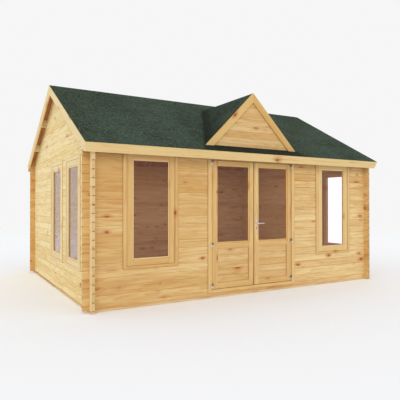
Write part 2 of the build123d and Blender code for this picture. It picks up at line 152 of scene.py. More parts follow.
def startMaterial(name):
    material = bpy.data.materials.new(name)
    material.use_nodes = True
    tree = material.node_tree
    tree.nodes.clear()
    surface = addNode("ShaderNodeBsdfPrincipled", tree=tree)
    addNode("ShaderNodeOutputMaterial", {"Surface": surface.outputs[0]})
    place = addNode("ShaderNodeTexCoord", tree=tree).outputs["Object"]
    return material, surface, place


def letThrough(surface, share, tint=(1.0, 1.0, 1.0, 1.0)):
    # This share of the rays passes straight through the surface
    clear = addNode("ShaderNodeBsdfTransparent", {"Color": tint}, surface.id_data)
    both = addNode("ShaderNodeMixShader", {0: share, 1: surface.outputs[0], 2: clear.outputs[0]})
    fill(surface.id_data.nodes["Material Output"], {"Surface": both.outputs[0]})


def addBump(surface, height, distance):
    bump = addNode("ShaderNodeBump", {"Height": height, "Distance": distance})
    fill(surface, {"Normal": bump.outputs[0]})


jointWidth = (0.0075, 0.001)


def buildBoardGroup():
    # Cuts a wall into boards: a number for each board and the place across it
    tree, taken, given = startGroup(
        "boardCut",
        {"Across": "value", "Start": "value", "Pitch": "value", "Extra": "value"},
        {"Seed": "value", "Local": "value", "Joint": "value"},
    )
    steps = calc("DIVIDE", minus(taken["Across"], taken["Start"]), taken["Pitch"])
    number = calc("FLOOR", steps)
    middle = minus(minus(steps, number), 0.5)
    mark = joinAxes(plus(number, 0.5), plus(taken["Extra"], 0.5))
    seed = addNode("ShaderNodeTexWhiteNoise", {"Vector": mark}, noise_dimensions="2D").outputs["Value"]
    local = times(middle, taken["Pitch"])
    edge = minus(times(taken["Pitch"], 0.5), absolute(local))
    fill(given, {"Seed": seed, "Local": local, "Joint": fade(edge, *jointWidth)})
    return tree


knots = {"alongGrain": 2.6, "acrossGrain": 8.5, "spread": 0.85, "wobble": 0.014, "size": (0.006, 0.019),
         "depth": (0.35, 1.0), "edge": (1.08, 0.9), "halo": (4.2, 0.8), "bark": "#4A2410", "rings": 420.0}
rings = {"pithBehind": (0.02, 0.06), "pithAside": (-0.05, 0.05), "lean": (-0.006, 0.006), "waver": 0.035,
         "roundKnots": 0.012}


def buildTimberGroup():
    # Solid softwood: X runs along the grain, Y into the board, Z across its face
    tree, taken, given = startGroup(
        "timberFigure",
        {"Vector": "vector", "Seed": "value", "Pale": "colour", "Warm": "colour", "Late": "colour",
         "Red": "colour", "Knot": "colour", "Ring Width": "value", "Knot Share": "value",
         "Variation": "value", "Shift": "value"},
        {"Color": "colour", "Roughness": "value", "Height": "value"},
    )
    vector, seed = taken["Vector"], taken["Seed"]
    shift = joinAxes(*[times(seed, size) for size in (61.0, 17.3, 23.9)])
    moved = calcVector("ADD", vector, shift)
    x, y, z = splitAxes(vector)
    movedAxes = splitAxes(moved)

    # Knots: the nearest branch in a loose grid, so many a metre along the grain and across it
    grid = joinAxes(times(movedAxes[0], knots["alongGrain"]), times(movedAxes[2], knots["acrossGrain"]))
    branches = addNode("ShaderNodeTexVoronoi", {"Vector": grid, "Scale": 1.0, "Randomness": knots["spread"]},
                       voronoi_dimensions="2D")
    reach = calcVector("SUBTRACT", grid, branches.outputs["Position"])
    reach = calcVector("MULTIPLY", reach, (0.5 / knots["alongGrain"], 1 / knots["acrossGrain"], 0.0))
    wobble = noise(moved, detail=1.0, stretch=(45.0, 60.0, 60.0))
    near = timesPlus(minus(wobble, 0.5), knots["wobble"], calcVector("LENGTH", reach))
    chance = splitAxes(branches.outputs["Color"])
    size = fade(chance[0], 0.0, 1.0, *knots["size"])
    present = calc("LESS_THAN", chance[1], taken["Knot Share"])
    depth = times(present, fade(chance[2], 0.0, 1.0, *knots["depth"]))
    relative = calc("DIVIDE", near, size)
    knot = times(fade(relative, *knots["edge"]), depth)
    halo = times(fade(relative, *knots["halo"]), depth)
    bark = times(fade(distanceTo(relative, 1.0), 0.22, 0.0), depth)

    # Growth rings round a pith that lies behind the face, pushed aside by the knots
    pithY = fade(calc("FRACT", times(seed, 17.3)), 0.0, 1.0, *rings["pithBehind"])
    pithZ = fade(calc("FRACT", times(seed, 29.1)), 0.0, 1.0, *rings["pithAside"])
    lean = times(x, fade(seed, 0.0, 1.0, *rings["lean"]))
    drift = noise(moved, detail=3.0, stretch=(0.9, 7.0, 7.0))
    off = joinAxes(0.0, plus(y, pithY), plus(z, pithZ))
    radius = plus(calcVector("LENGTH", off), lean)
    radius = timesPlus(drift, rings["waver"], radius)
    radius = timesPlus(times(halo, halo), rings["roundKnots"], radius)
    turn = calc("FRACT", calc("DIVIDE", radius, taken["Ring Width"]))
    late = times(calc("POWER", turn, 2.2), fade(turn, 1.0, 0.86))

    # Streaks, clouds, fibres, resin and heartwood, all long with the grain
    streak = noise(moved, detail=4.0, roughness=0.68, stretch=(1.5, 34.0, 34.0))
    cloud = noise(moved, stretch=(0.5, 3.0, 3.0))
    fibre = noise(moved, roughness=0.7, stretch=(11.0, 420.0, 420.0))
    resin = fade(noise(moved, stretch=(1.6, 34.0, 34.0)), 0.62, 0.78)
    heartwood = fade(noise(moved, detail=3.0, stretch=(1.1, 9.0, 9.0)), 0.6, 0.76)

    tone = plus(times(streak, 1.3), times(cloud, 0.7))
    tone = plus(timesPlus(minus(seed, 0.5), taken["Variation"], tone), taken["Shift"])
    base = mixSockets(fade(tone, 0.55, 1.5), taken["Pale"], taken["Warm"])
    for mask, share, colour in ((late, 0.42, "Late"), (resin, 0.5, "Late"), (heartwood, 0.5, "Red"),
                                (halo, 0.75, "Red")):
        base = mixSockets(times(mask, share), base, taken[colour])
    rays = fade(calc("FRACT", times(near, knots["rings"])), 0.2, 1.0, 0.75, 1.15)
    heart = mixSockets(1.0, taken["Knot"], joinAxes(rays, rays, rays), mode="MULTIPLY")
    base = mixSockets(times(knot, 0.85), base, heart)
    base = mixSockets(times(bark, 0.25), base, paint(knots["bark"]))
    grain = timesPlus(minus(fibre, 0.5), 0.16, 1.0)
    base = mixSockets(1.0, base, joinAxes(grain, grain, grain), mode="MULTIPLY")
    rough = timesPlus(fibre, 0.18, timesPlus(knot, -0.12, 0.46))
    ridges = timesPlus(late, 0.6, times(fibre, 0.4))
    height = timesPlus(bark, -0.8, ridges)
    fill(given, {"Color": base, "Roughness": rough, "Height": height})
    return tree


boardGroup = buildBoardGroup()
timberGroup = buildTimberGroup()
print("stage: shader groups built")


timbers = {  # pale, warm, late, red heart and knot colours, ring width, share of knots, variation
    "honey": ("#EFD296 #D5A660 #B4783F #C06A32 #8C4216", 0.0055, 0.18, 0.36),
    # Lit copy: paler timber that paints light on the left wall and its gable
    "pale": ("#FAE8B0 #E8C87B #CE9850 #D0863F #A0562A", 0.0055, 0.12, 0.4),
    "joinery": ("#EACA8B #D7A860 #B97B3D #C26C34 #8A4218", 0.0045, 0.12, 0.45),
    "eaves": ("#F2D89B #E0B66C #C08546 #C87A3C #8E4A22", 0.0045, 0.12, 0.5),
    "dormer": ("#E6C480 #D4A75C #B4773A #C0642C #7E3A19", 0.0045, 0.22, 0.4),
    "panel": ("#E7C78D #D3A35E #B67C40 #C06A32 #8C4216", 0.0045, 0.24, 0.22),
    # Lit copy: paler timber that paints light on the verges, purlins and left windows
    "paintedLitTimber": ("#F8E8B8 #EBD093 #D09E5A #CF8A4C #96532A", 0.0045, 0.1, 0.35),
    # Shaded copy: darker, redder timber that paints shade on the roof boarding under the eaves
    "roof": ("#CF8D58 #B2642F #8C431D #94431E #5C2610", 0.006, 0.35, 0.9),
    "plain": ("#E4C692 #CFA364 #AD7840 #B0693A #7E3F1E", 0.006, 0.2, 0.8),
}
timberInputs = ("Pale", "Warm", "Late", "Red", "Knot", "Ring Width", "Knot Share", "Variation")


def figureOf(timber, inputs):
    colours, *measures = timbers[timber]
    values = [paint(colour) for colour in colours.split()] + measures
    return useGroup(timberGroup, {**inputs, **dict(zip(timberInputs, values))})


# Painted highlight and painted shade colours, with the timber's own specular and grain depth
timberFinish = {"paintedHighlight": "#F3DDB0", "paintedShade": "#A8693A", "specular": 0.35, "grainDepth": 0.00035}


def finishTimber(surface, figure, shadow=None, light=None):
    # A light mask paints a highlight on an arris, and a shadow mask paints shade into joints and edges
    base = figure["Color"]
    if light is not None:
        base = mixSockets(light, base, paint(timberFinish["paintedHighlight"]))
    if shadow is not None:
        base = stain(shadow, base, timberFinish["paintedShade"])
    fill(surface, {"Base Color": base, "Roughness": figure["Roughness"],
                   "Specular IOR Level": timberFinish["specular"]})
    addBump(surface, figure["Height"], timberFinish["grainDepth"])


def turnGrain(place, along):
    # The grain runs along the named axis, and the other two follow
    order = {"x": (0, 1, 2), "y": (1, 0, 2), "z": (2, 1, 0)}[along]
    axes = splitAxes(place)
    return [axes[axis] for axis in order]


eavesShade = {"outside": (1.985, 1.99), "height": (2.083, 2.1), "depth": 0.75}


def shadeUnderEaves(place):
    # The last few centimetres under the fascias stay in their shade
    y, height = splitAxes(place)[1:]
    outside = fade(absolute(y), *eavesShade["outside"])
    return times(outside, fade(height, *eavesShade["height"], 0.0, eavesShade["depth"]))


jointShades = {"crossing": 0.9, "cutFace": 0.3, "doorsFade": (0.5, -0.5)}


def makeBoards(name, timber, along, start, pitch, endFrom=None, splitAbove=None, paleShift=0.0, drift=None,
               seam=0.0, jointLight=0.0, stubLight=0.0):
    # Boards one above another, each with its own figure. Above splitAbove the front's are two lots, left
    # and right. The pale shift grows with X, and drift is a fade with height
    material, surface, place = startMaterial(name)
    x, y, z = turnGrain(place, along)
    side = calc("SIGN", y)
    if splitAbove is not None:
        above, ahead = calc("GREATER_THAN", z, splitAbove), calc("LESS_THAN", y, 0.0)
        parted = times(above, ahead, 3.0)
        side = timesPlus(calc("SIGN", x), parted, side)
    cut = useGroup(boardGroup, {"Across": z, "Start": start, "Pitch": pitch, "Extra": side})
    shift = times(x, -paleShift)
    if drift is not None:
        shift = plus(shift, fade(z, *drift))
    vector = joinAxes(x, y, cut["Local"])
    figure = figureOf(timber, {"Vector": vector, "Seed": cut["Seed"], "Shift": shift})
    shadow, light = times(cut["Joint"], seam) if seam > 0 else None, None
    if endFrom is not None:
        # Painted shade gathers where the log ends meet
        atEnd = calc("GREATER_THAN", absolute(x), endFrom)
        shadow = times(atEnd, cut["Joint"], jointShades["crossing"])
        if along == "x":
            shadow = larger(shadow, shadeUnderEaves(place))
            # The joints left of the doors catch more light
            onWall = calc("GREATER_THAN", x, wallLeft)
            leftward = fade(x, *jointShades["doorsFade"], 0.0, jointLight)
            light = times(onWall, leftward, cut["Joint"])
        else:
            # Past the front wall the side logs' sides get painted light, and the cut painted shade
            stub = calc("GREATER_THAN", absolute(x), frontFace)
            light = times(minus(stub, atEnd), stubLight)
            shadow = larger(shadow, times(atEnd, jointShades["cutFace"]))
    finishTimber(surface, figure, shadow, light)
    return material


def makePlank(name, timber, along, seedStep, slope=None):
    # One board with its grain along an axis, or down both slopes of a roof
    material, surface, place = startMaterial(name)
    x, y, z = turnGrain(place, along)
    first, second = [calc("SIGN", axis) for axis in ((y, z) if slope is None else (x, y))]
    if slope is not None:
        run = absolute(x)
        down = minus(times(run, math.cos(slope)), times(z, math.sin(slope)))
        x, z = down, plus(times(run, math.sin(slope)), times(z, math.cos(slope)))
    mark = plus(first, times(second, 3.0))
    seed = randomOf(timesPlus(mark, 1.7, seedStep))
    figure = figureOf(timber, {"Vector": joinAxes(x, y, z), "Seed": seed})
    finishTimber(surface, figure)
    return material


def edgeOf(reach, z, outline):
    # Signed distance from a rectangle: half its width, then its foot and its head
    half, foot, head = outline
    rise = distanceTo(z, (foot + head) / 2)
    return larger(minus(reach, half), minus(rise, (head - foot) / 2))


framing = {"midHeight": 1.3, "joint": (0.0012, 0.0004), "jointShade": 0.7, "bead": (0.018, 0.009),
           "beadLight": 0.55, "softness": 0.2, "gapSoftness": 0.3}


def makeFramed(name, timber, across, places, inner, outlines, bead=None, capped=False, meeting=None,
               paleShift=(0.0, 0.0)):
    # Stiles upright and rails level, told apart by their distance from the middle of the opening.
    # The pale shift is for the left of the pair, then the right
    material, surface, place = startMaterial(name)
    x, y, z = turnGrain(place, across)
    centre, half = places
    off = minus(distanceTo(x, centre), half)
    reach = absolute(off)
    upright = calc("GREATER_THAN", reach, inner)
    vector = mixSockets(upright, joinAxes(x, y, z), joinAxes(z, y, x), kind="VECTOR")
    level = calc("SIGN", minus(z, framing["midHeight"]))
    side = mixSockets(upright, level, calc("SIGN", off), kind="FLOAT")
    leftOrRight = calc("SIGN", minus(x, centre))
    mark = plus(times(side, 3.1), plus(times(upright, 11.3), times(leftOrRight, 23.7)))
    shift = timesPlus(calc("GREATER_THAN", x, 0.0), paleShift[0] - paleShift[1], -paleShift[0])
    figure = figureOf(timber, {"Vector": vector, "Seed": randomOf(mark), "Shift": shift})
    # Painted shade in the joints of stiles and rails, and painted shadow lines round sashes and frames
    shadow = times(fade(distanceTo(reach, inner), *framing["joint"]), framing["jointShade"])
    for outline, width, depth in outlines:
        edge = absolute(edgeOf(reach, z, outline))
        shadow = larger(shadow, fade(edge, width, framing["softness"] * width, 0.0, depth))
    if capped:
        shadow = larger(shadow, shadeUnderEaves(place))
    if meeting is not None:
        # Painted shadow in the gap where the two leaves meet
        shadow = larger(shadow, fade(absolute(x), meeting, framing["gapSoftness"] * meeting))
    light = None
    # The glazing beads get a painted highlight
    if bead is not None:
        light = times(fade(edgeOf(reach, z, bead), *framing["bead"]), framing["beadLight"])
    finishTimber(surface, figure, shadow, light)
    return material


def dress(material, *names):
    for name in names:
        for slot in cadNodes[name].material_slots:
            slot.material = material


roofSlope, dormerSlope = math.radians(29.0), math.radians(45.0)
walls = {"logPitch": 0.115, "frameProud": 0.02, "cutDepth": 0.002}
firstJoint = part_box("front_wall_left")[0][2]
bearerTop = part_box("left_wall")[0][2]
frontFace = -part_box("door_frame")[0][1] - walls["frameProud"]
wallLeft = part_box("left_wall")[0][0]
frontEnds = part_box("front_wall_right")[1][0] - walls["cutDepth"]
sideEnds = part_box("left_wall")[1][1] - walls["cutDepth"]

# The drift paints shade: the front logs grow warmer and darker towards the eaves
frontLogs = makeBoards("frontLogs", "honey", "x", firstJoint, walls["logPitch"], frontEnds,
                       splitAbove=firstJoint, paleShift=0.09, drift=(1.2, 2.1, 0.0, 0.34), jointLight=0.5)
# The left wall and gable are a lit copy, paler than the front: painted light
litSideLogs = makeBoards("litSideLogs", "pale", "y", bearerTop, walls["logPitch"], sideEnds,
                      drift=(0.65, 0.95, 0.08, -0.18), stubLight=0.95)
shadedLogs = makeBoards("shadedLogs", "joinery", "y", bearerTop, walls["logPitch"], sideEnds)
dress(frontLogs, "front_wall_left", "front_wall_right", "back_wall", "wall_plates", "sill_logs")
dress(litSideLogs, "left_wall", "left_gable")
dress(shadedLogs, "right_wall", "right_gable")
dress(makePlank("eavesBoards", "eaves", "x", 2.0), "fascias")
dress(makePlank("vergeBoards", "paintedLitTimber", "y", 5.0, roofSlope), "bargeboards")
dress(makePlank("dormerEdges", "dormer", "x", 9.0, dormerSlope), "dormer_bargeboards")
dress(makePlank("purlinTimber", "paintedLitTimber", "x", 12.0), "roof_purlins")
dress(makePlank("groundTimber", "plain", "x", 15.0), "floor_joists", "base_bearers")

panels = {"dormerPitch": 0.1, "dormerDrop": 3.0, "doorFoot": 0.222, "doorPitch": 0.1032}
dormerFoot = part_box("dormer_gable")[1][2] - panels["dormerDrop"]
dormerPanel = makeBoards("dormerPanel", "panel", "x", dormerFoot, panels["dormerPitch"], paleShift=-0.08,
                         seam=0.15)
doorPanel = makeBoards("panelBoards", "panel", "x", panels["doorFoot"], panels["doorPitch"], splitAbove=0.0,
                       seam=0.25)
dress(dormerPanel, "dormer_gable")
dress(doorPanel, "left_door_panel", "right_door_panel")


def outlineOf(node, across, middle, half):
    # The rectangle of one frame of a pair: half its width, its foot and its head
    low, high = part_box(node)
    return (high["xy".index(across)] - middle - half, low[2], high[2])


windowRows = {  # the middle of each pair, half the distance between its windows, how dark its painted shadow outlines are
    "front": {"across": "x", "middle": 0.0, "half": 1.779, "timber": "joinery", "line": 1.0,
              "paleShift": (0.0, 0.5)},
    "left": {"across": "y", "middle": -0.6145, "half": 0.5275, "timber": "paintedLitTimber", "line": 0.55},
    "right": {"across": "y", "middle": -0.7925, "half": 0.5275, "timber": "joinery", "line": 1.0},
}
lines = {"stile": 0.101, "sash": (0.0075, 0.55), "frame": (0.006, 0.45), "meeting": 0.013}
for rowName, row in windowRows.items():
    node, across, places = rowName + "_window", row["across"], (row["middle"], row["half"])
    paleShift = row.get("paleShift", (0.0, 0.0))
    sashRim, frameRim = (outlineOf(node + part, across, *places) for part in ("_sashes", "_frames"))
    pane = (sashRim[0] - lines["stile"], sashRim[1] + lines["stile"], sashRim[2] - lines["stile"])
    sashLine, frameLine = ((rim, lines[part][0], lines[part][1] * row["line"])
                           for rim, part in ((sashRim, "sash"), (frameRim, "frame")))
    sash = makeFramed(rowName + "Sash", row["timber"], across, places, pane[0], [sashLine], bead=pane,
                      paleShift=paleShift)
    frameTimber = makeFramed(rowName + "Frame", row["timber"], across, places, sashRim[0],
                             [sashLine, frameLine], capped=True, paleShift=[0.3 * part for part in paleShift])
    dress(sash, node + "_sashes")
    dress(frameTimber, node + "_frames")
    if rowName == "front":
        dress(frameTimber, "inner_casings")

jamb = {"inside": 0.785, "seam": 0.787, "gap": 0.003, "foot": 0.0, "head": 3.0, "paleShift": (0.25, 0.3)}
leafLow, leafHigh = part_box("left_door_leaf")
leafHalf = (leafHigh[0] - leafLow[0]) / 2
leafMiddle = -(leafHigh[0] + leafLow[0]) / 2
leafRim = (leafHalf, leafLow[2], leafHigh[2])
jambRim = (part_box("door_frame")[1][0], jamb["foot"], jamb["head"])
jambInside = (jamb["inside"], leafLow[2] - jamb["gap"], leafHigh[2] + jamb["gap"])
leafTimber = makeFramed("leafTimber", "joinery", "x", (0.0, leafMiddle), leafHalf - lines["stile"],
                        [(leafRim, *lines["frame"])], meeting=lines["meeting"])
jambTimber = makeFramed("jambTimber", "joinery", "x", (0.0, 0.0), jamb["seam"],
                        [(jambRim, *lines["frame"]), (jambInside, *lines["frame"])], capped=True,
                        paleShift=jamb["paleShift"])
dress(leafTimber, "left_door_leaf", "right_door_leaf")
dress(jambTimber, "door_frame")
print("stage: timber dressed")


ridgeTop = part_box("roof_felt")[1][2]
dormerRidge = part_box("dormer_felt")[1][2]
feltNoises = {  # scale, detail, roughness and stretch
    "cloud": (1.3, 4.0, 0.6), "patch": (4.5, 5.0, 0.75), "smear": (30.0, 4.0, 0.75, (1.0, 0.45, 0.45)),
    "speck": (36.0, 3.0, 0.8),
}
feltBase = ("#243022", "#36463A")
feltMottles = (  # a noise, the fade that picks its share of the felt, and its colour
    ("patch", (0.54, 0.34, 0.0, 0.75), "#1B261C"),
    ("smear", (0.46, 0.64, 0.0, 0.7), "#445344"),
    ("speck", (0.53, 0.66, 0.0, 0.85), "#5E6E60"),
    ("speck", (0.46, 0.34, 0.0, 0.8), "#1A251B"),
    ("grit", (0.86, 0.9, 0.0, 0.5), "#68766C"),
    ("grit", (0.2, 0.1, 0.0, 0.6), "#141D17"),
)
# Colour and reach of the painted shade by the dormer
feltShade = {"colour": "#7C8780", "line": 0.04, "reach": 0.24, "depth": 0.85, "besideWeight": 2.6,
            "front": (-0.1, -0.4), "dormerFoot": (0.0, 0.03, 0.0, 0.5), "dormerTop": (0.1, 0.45, 1.0, 0.3)}


def makeFelt():
    material, surface, place = startMaterial("mineralFelt")
    x, y, z = splitAxes(place)
    grit = addNode("ShaderNodeTexVoronoi", {"Vector": place, "Scale": 420.0})
    mottles = {name: noise(place, *figures) for name, figures in feltNoises.items()}
    mottles["grit"] = splitAxes(grit.outputs["Color"])[0]
    base = mixSockets(fade(mottles["cloud"], 0.4, 0.6), *map(paint, feltBase))
    for name, ends, colour in feltMottles:
        base = mixSockets(fade(mottles[name], *ends), base, paint(colour))
    # Painted shade darkens the valleys beside the dormer and the strip below it
    roof = timesPlus(absolute(y), -math.tan(roofSlope), ridgeTop)
    above = larger(minus(z, roof), 0.0)
    beside = minus(plus(absolute(x), z), dormerRidge)
    nearLine = distanceTo(above, feltShade["line"])
    near = timesPlus(larger(beside, 0.0), feltShade["besideWeight"], nearLine)
    nearDormerShade = times(fade(near, feltShade["reach"], 0.0, 0.0, feltShade["depth"]), fade(y, *feltShade["front"]))
    # The dormer's own felt gets painted shade too, most of all at its foot
    shade = times(fade(above, *feltShade["dormerFoot"]), fade(above, *feltShade["dormerTop"]))
    base = stain(larger(nearDormerShade, shade), base, feltShade["colour"])
    fill(surface, {"Base Color": base, "Roughness": 0.92, "Specular IOR Level": 0.15})
    addBump(surface, minus(1.0, grit.outputs["Distance"]), 0.0006)
    return material


glass = {"tints": ((0.97, 0.885, 1.0, 1.0), (0.955, 0.87, 0.985, 1.0)),
         "shadowTint": (0.93, 0.94, 0.93, 1.0), "index": 1.3}


def makeGlass():
    material, surface, place = startMaterial("clearGlass")
    smudge = noise(place, 3.0, 1.0)
    fill(surface, {"Base Color": mixSockets(fade(smudge, 0.3, 0.7), *glass["tints"]),
                   "Transmission Weight": 1.0, "IOR": glass["index"], "Roughness": 0.0})
    # Daylight passes the panes in shadow rays and diffuse ones
    path = addNode("ShaderNodeLightPath", tree=surface.id_data).outputs
    either = larger(path["Is Shadow Ray"], path["Is Diffuse Ray"])
    letThrough(surface, either, glass["shadowTint"])
    return material


steelMarks = {"cloud": "#A9ABAC", "brushed": "#6E6A66", "roughRange": 0.14, "brushDepth": 0.00008}


def makeSteel(name, shade, rough, metal=1.0):
    material, surface, place = startMaterial(name)
    brushed = noise(place, stretch=(900.0, 900.0, 30.0))
    cloud = noise(place, 35.0)
    base = mixSockets(fade(cloud, 0.3, 0.7, 0.0, 0.35), paint(shade), paint(steelMarks["cloud"]))
    base = mixSockets(fade(brushed, 0.35, 0.7, 0.0, 0.25), base, paint(steelMarks["brushed"]))
    roughness = fade(brushed, 0.2, 0.8, rough, rough + steelMarks["roughRange"])
    fill(surface, {"Base Color": base, "Metallic": metal, "Roughness": roughness})
    addBump(surface, brushed, steelMarks["brushDepth"])
    return material


mineralFelt = makeFelt()
clearGlass = makeGlass()
brushedSteel = makeSteel("brushedSteel", "#EEECEA", 0.3, 0.6)
# The handle plates' peach colour is a painted reflection of the wood round them
paintedReflectionSteel = makeSteel("paintedReflectionSteel", "#FBE0BE", 0.36, 0.35)
# A darker copy of the hinge steel paints shade on the leaves' hinges
shadedSteel = makeSteel("shadedSteel", "#8F8178", 0.42, 0.6)
satinSteel = makeSteel("satinSteel", "#F2EEEA", 0.34, 0.55)
darkSteel = makeSteel("darkSteel", "#4A4644", 0.4)
dress(clearGlass, "front_window_glass", "left_window_glass", "right_window_glass",
      "left_door_glass", "right_door_glass")
print("stage: felt, glass and steel mixed")


def addNew(name):
    # The primitive just added, with its place and size put into its mesh
    bpy.ops.object.transform_apply()
    bpy.context.object.name = name
    return bpy.context.object


def addBlock(name, low, high):
    # A block between two corners
    bpy.ops.object.select_all(action="DESELECT")
    middle = [(first + last) / 2 for first, last in zip(low, high)]
    spans = [last - first for first, last in zip(low, high)]
    bpy.ops.mesh.primitive_cube_add(size=1, location=middle, scale=spans)
    return addNew(name)


rodTurns = {"x": (0.0, math.pi / 2, 0.0), "y": (math.pi / 2, 0.0, 0.0), "z": (0.0, 0.0, 0.0)}


def addRod(name, radius, start, end, along, sides=24):
    # A round rod between two points on one axis
    bpy.ops.object.select_all(action="DESELECT")
    middle = [(first + last) / 2 for first, last in zip(start, end)]
    depth = max(abs(last - first) for first, last in zip(start, end))
    bpy.ops.mesh.primitive_cylinder_add(vertices=sides, radius=radius, depth=depth, location=middle,
                                        rotation=rodTurns[along])
    return addNew(name)


def addPeg(name, radius, x, z, ends, sides=12):
    # A rod from front to back
    return addRod(name, radius, (x, ends[0], z), (x, ends[1], z), "y", sides)


def selectOnly(piece):
    bpy.ops.object.select_all(action="DESELECT")
    piece.select_set(True)
    bpy.context.view_layer.objects.active = piece


def settle(piece, place, turn=(0.0, 0.0, 0.0)):
    # Turns and moves a piece, and puts that into its mesh
    piece.location, piece.rotation_euler = place, turn
    selectOnly(piece)
    bpy.ops.object.transform_apply()


def pickParts(piece, kind, test):
    # Leaves edit mode on, with the edges or faces that pass a test on their middle and direction
    selectOnly(piece)
    bpy.ops.object.mode_set(mode="EDIT")
    bpy.ops.mesh.select_mode(type=kind)
    bpy.ops.mesh.select_all(action="DESELECT")
    bpy.ops.object.mode_set(mode="OBJECT")
    if kind == "EDGE":
        for edge in piece.data.edges:
            first, last = (piece.data.vertices[end].co for end in edge.vertices)
            edge.select = test((first + last) / 2, (last - first).normalized())
    else:
        for face in piece.data.polygons:
            face.select = test(face.center, face.normal)
    bpy.ops.object.mode_set(mode="EDIT")


def bevelEdges(piece, width, segments, test):
    pickParts(piece, "EDGE", test)
    bpy.ops.mesh.bevel(offset=width, segments=segments, affect="EDGES")
    bpy.ops.object.mode_set(mode="OBJECT")


def divideEdges(piece, axis, cuts):
    # Cuts across the edges that run along an axis
    pickParts(piece, "EDGE", lambda middle, line: abs(line["xyz".index(axis)]) > 0.9)
    bpy.ops.mesh.subdivide(number_cuts=cuts)
    bpy.ops.object.mode_set(mode="OBJECT")


def drawFaces(piece, rim, move, test, shrink=None):
    # Draws faces out or in, inside a rim
    pickParts(piece, "FACE", test)
    if rim > 0:
        bpy.ops.mesh.inset(thickness=rim)
    bpy.ops.mesh.extrude_region_move(TRANSFORM_OT_translate={"value": move})
    if shrink is not None:
        bpy.ops.transform.resize(value=shrink)
    bpy.ops.object.mode_set(mode="OBJECT")


def cutAt(piece, place, normal):
    # Cuts away what lies on the normal's side, and closes the cut
    pickParts(piece, "FACE", lambda middle, facing: True)
    bpy.ops.mesh.bisect(plane_co=place, plane_no=normal, clear_outer=True, use_fill=True)
    bpy.ops.object.mode_set(mode="OBJECT")


def modify(piece, kind, **settings):
    selectOnly(piece)
    bpy.ops.object.modifier_add(type=kind)
    setAll(piece.modifiers[-1], settings)
    bpy.ops.object.modifier_apply(modifier=piece.modifiers[-1].name)


def roundEdges(piece, width, segments=2, angle=40):
    modify(piece, "BEVEL", width=width, segments=segments, limit_method="ANGLE",
           angle_limit=math.radians(angle))


def repeatPiece(piece, count, step):
    modify(piece, "ARRAY", count=count, use_relative_offset=False, use_constant_offset=True,
           constant_offset_displace=step)


def placeCopy(piece, place=(0.0, 0.0, 0.0), turn=(0.0, 0.0, 0.0)):
    twin = piece.copy()
    twin.data = piece.data.copy()
    bpy.context.collection.objects.link(twin)
    settle(twin, place, turn)
    return twin


def removePiece(piece):
    selectOnly(piece)
    bpy.ops.object.delete()


def finishPiece(name, parts, material, body, slotName, *nodes):
    # Joins the parts to one piece that rides a body and may stand for CAD nodes
    selectOnly(parts[0])
    for part in parts:
        part.select_set(True)
    if len(parts) > 1:
        bpy.ops.object.join()
    joined = bpy.context.object
    joined.name = joined.data.name = name
    joined.data.materials.clear()
    joined.data.materials.append(material)
    bpy.ops.object.shade_smooth_by_angle(angle=math.radians(35))
    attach(joined, body)
    if nodes:
        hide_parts(*nodes)


def heightsOf(node):
    return sorted({round(vertex.co.z, 4) for vertex in cadNodes[node].data.vertices})


def turnFor(side, tilt=0.0):
    # As modelled for the front (-1), or half a turn round for the rear (1)
    return (tilt, 0.0, 0.0 if side < 0 else math.pi)


hinge = {
    "radius": 0.009, "knobRim": 0.0022, "knobRise": 0.0028, "knobShrink": (0.6, 0.6, 1.0), "edge": 0.0009,
    "reach": 0.027, "setBack": 0.0045, "endGap": 0.001, "round": 0.006, "flagEdge": 0.0006,
    "screw": 0.0036, "screwSpan": (-0.0008, 0.001), "screwRim": 0.0014, "screwDip": 0.0007,
    "screwReach": 0.0185, "screwShares": (0.27, 0.73),
}


def buildHinge(axisX, low, high, towards, backY, knobAt):
    # A knuckle with a knob on its free end, and a flag with two screws
    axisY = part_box("left_door_hinges")[0][1] + hinge["radius"]
    knuckle = addRod("knuckle", hinge["radius"], (axisX, axisY, low), (axisX, axisY, high), "z")
    drawFaces(knuckle, hinge["knobRim"], (0, 0, knobAt * hinge["knobRise"]),
              lambda middle, normal: normal.z * knobAt > 0.9, hinge["knobShrink"])
    roundEdges(knuckle, hinge["edge"])
    far = axisX + towards * hinge["reach"]
    frontY = axisY + hinge["radius"] - hinge["setBack"]
    flag = addBlock("flag", (min(axisX, far), frontY, low + hinge["endGap"]),
                    (max(axisX, far), backY, high - hinge["endGap"]))
    bevelEdges(flag, hinge["round"], 4,
               lambda middle, line: abs(line.y) > 0.9 and abs(middle.x - far) < 0.001)
    roundEdges(flag, hinge["flagEdge"])
    screws, screwX = [], axisX + towards * hinge["screwReach"]
    for share in hinge["screwShares"]:
        head = addPeg("screw", hinge["screw"], screwX, low + share * (high - low),
                      [frontY + end for end in hinge["screwSpan"]])
        drawFaces(head, hinge["screwRim"], (0, hinge["screwDip"], 0), lambda middle, normal: normal.y < -0.9)
        screws.append(head)
    return [knuckle, flag, *screws]


def buildHinges():
    # A leaf half over a frame half at three heights on both sides
    leafLevels, frameLevels = heightsOf("left_door_hinges"), heightsOf("hinge_pins")
    leafBack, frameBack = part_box("left_door_hinges")[1][1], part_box("hinge_pins")[1][1]
    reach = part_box("right_door_hinges")[1][0] - hinge["radius"]
    frameParts = []
    for side, bodyName in ((-1, "left_door"), (1, "right_door")):
        leafParts, axis = [], side * reach
        for step in (0, 3, 6):  # three levels a hinge
            leafParts += buildHinge(axis, leafLevels[step], leafLevels[step + 2], -side, leafBack, 1)
            frameParts += buildHinge(axis, frameLevels[step], frameLevels[step + 1], side, frameBack, -1)
        finishPiece(bodyName + "Hinges", leafParts, shadedSteel, bodyName, "steel", bodyName + "_hinges")
    finishPiece("frameHinges", frameParts, brushedSteel, "house", "steel", "hinge_pins")


